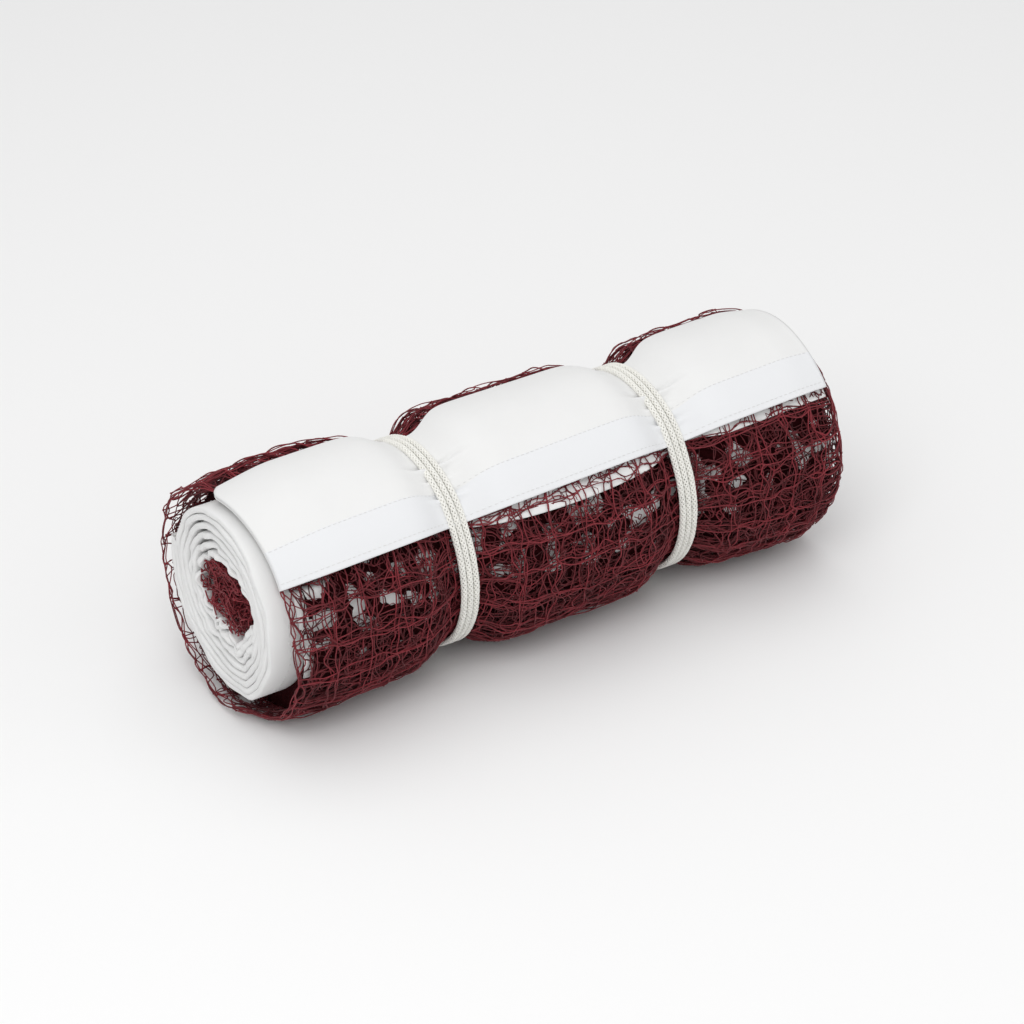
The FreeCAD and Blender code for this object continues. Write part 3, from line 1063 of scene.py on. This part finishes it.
@once
def braid_material():
    """Warm white braided cord with a slight sheen."""
    shader = Shader("tie_braid", Roughness=0.42, Sheen_Weight=0.2)
    where = shader.coordinates()
    cloud = shader.noise(where, 120, 4)
    cord = settings().braid
    shader.drive("Base Color", shader.blend(cloud, shade(cord, 0.9), shade(cord, 1.03)))
    shader.relief(shader.noise(where, 2600, 3), 0.5, 0.15 * MM)
    return shader


@once
def floor_material():
    """Pale matte floor."""
    shader = Shader("pale_floor", Base_Color=(0.9, 0.9, 0.9, 1), Roughness=0.8)
    return shader


# Stage ---------------------------------------------------------------------------------------

def area_light(name, place, aim, size, power):
    """A soft box that faces the roll."""
    light = bpy.data.lights.new(name, "AREA")
    light.energy = power
    light.shape = "RECTANGLE"
    light.size, light.size_y = size
    holder = bpy.data.objects.new(name, light)
    holder.location = place
    holder.rotation_euler = (Vector(aim) - Vector(place)).to_track_quat("-Z", "Y").to_euler()
    bpy.context.collection.objects.link(holder)


class NET_OT_stage(bpy.types.Operator):
    """Set up the camera, the floor and the soft studio light"""
    bl_idname = "net.stage"
    bl_label = "Stage"

    def execute(self, context):
        azimuth, elevation = math.radians(-32), math.radians(33)
        distance = 2.2
        back = Vector((math.sin(azimuth) * math.cos(elevation),
                       -math.cos(azimuth) * math.cos(elevation), math.sin(elevation)))
        turn = back.to_track_quat("Z", "Y")
        camera = bpy.data.objects.new("Camera", bpy.data.cameras.new("Camera"))
        camera.data.lens = 140
        middle = Vector((0, 0, AXIS_Z)) + turn @ Vector((0.2 * MM, -2.2 * MM, 0))
        camera.location = middle + back * distance
        camera.rotation_mode = "QUATERNION"
        camera.rotation_quaternion = turn
        context.collection.objects.link(camera)
        context.scene.camera = camera

        bm = bmesh.new()
        bmesh.ops.create_grid(bm, x_segments=1, y_segments=1, size=6)
        mesh = bpy.data.meshes.new("floor")
        bm.to_mesh(mesh)
        bm.free()
        mesh.materials.append(floor_material())
        floor = bpy.data.objects.new("floor", mesh)
        context.collection.objects.link(floor)

        area_light("key", (-0.9, -0.9, 1.7), (0, 0, 0.05), (1.4, 1.4), 17)
        area_light("fill", (1.4, -1.2, 0.9), (0, 0, 0.05), (1.2, 1.2), 3)
        area_light("top", (0.2, 0.4, 2.0), (0, 0, 0.05), (1.6, 1.6), 8)
        world = bpy.data.worlds.new("studio")
        world.use_nodes = True
        world.node_tree.nodes["Background"].inputs[0].default_value = (1, 1, 1, 1)
        world.node_tree.nodes["Background"].inputs[1].default_value = 0.6
        context.scene.world = world
        context.scene.view_settings.view_transform = "Standard"
        return {"FINISHED"}


OPERATORS = (NET_OT_stage, NET_OT_ties, NET_OT_headband, NET_OT_headline, NET_OT_side_tape,
             NET_OT_seams, NET_OT_outer_wrap, NET_OT_middle_wraps, NET_OT_crumpled,
             NET_OT_inner_wraps, NET_OT_inner_tape, NET_OT_core, NET_OT_right_folds)


class NET_PT_panel(bpy.types.Panel):
    """Sidebar panel with the net's settings and one button for each piece"""
    bl_label = "Rolled net"
    bl_idname = "NET_PT_panel"
    bl_space_type = "VIEW_3D"
    bl_region_type = "UI"
    bl_category = "Net"

    def draw(self, context):
        for name in NetSettings.__annotations__:
            self.layout.prop(context.scene.net_settings, name)
        for operator in OPERATORS:
            self.layout.operator(operator.bl_idname)


def register():
    """Register the classes and hang the settings on the scene."""
    for each in (NetSettings, *OPERATORS, NET_PT_panel):
        bpy.utils.register_class(each)
    bpy.types.Scene.net_settings = bpy.props.PointerProperty(type=NetSettings)


def unregister():
    """Take the settings and the classes away again."""
    del bpy.types.Scene.net_settings
    for each in (NET_PT_panel, *reversed(OPERATORS), NetSettings):
        bpy.utils.unregister_class(each)


def main():
    """Build every piece in order."""
    register()
    for operator in OPERATORS:
        group, name = operator.bl_idname.split(".")
        getattr(getattr(bpy.ops, group), name)()


if __name__ == "__main__":
    main()
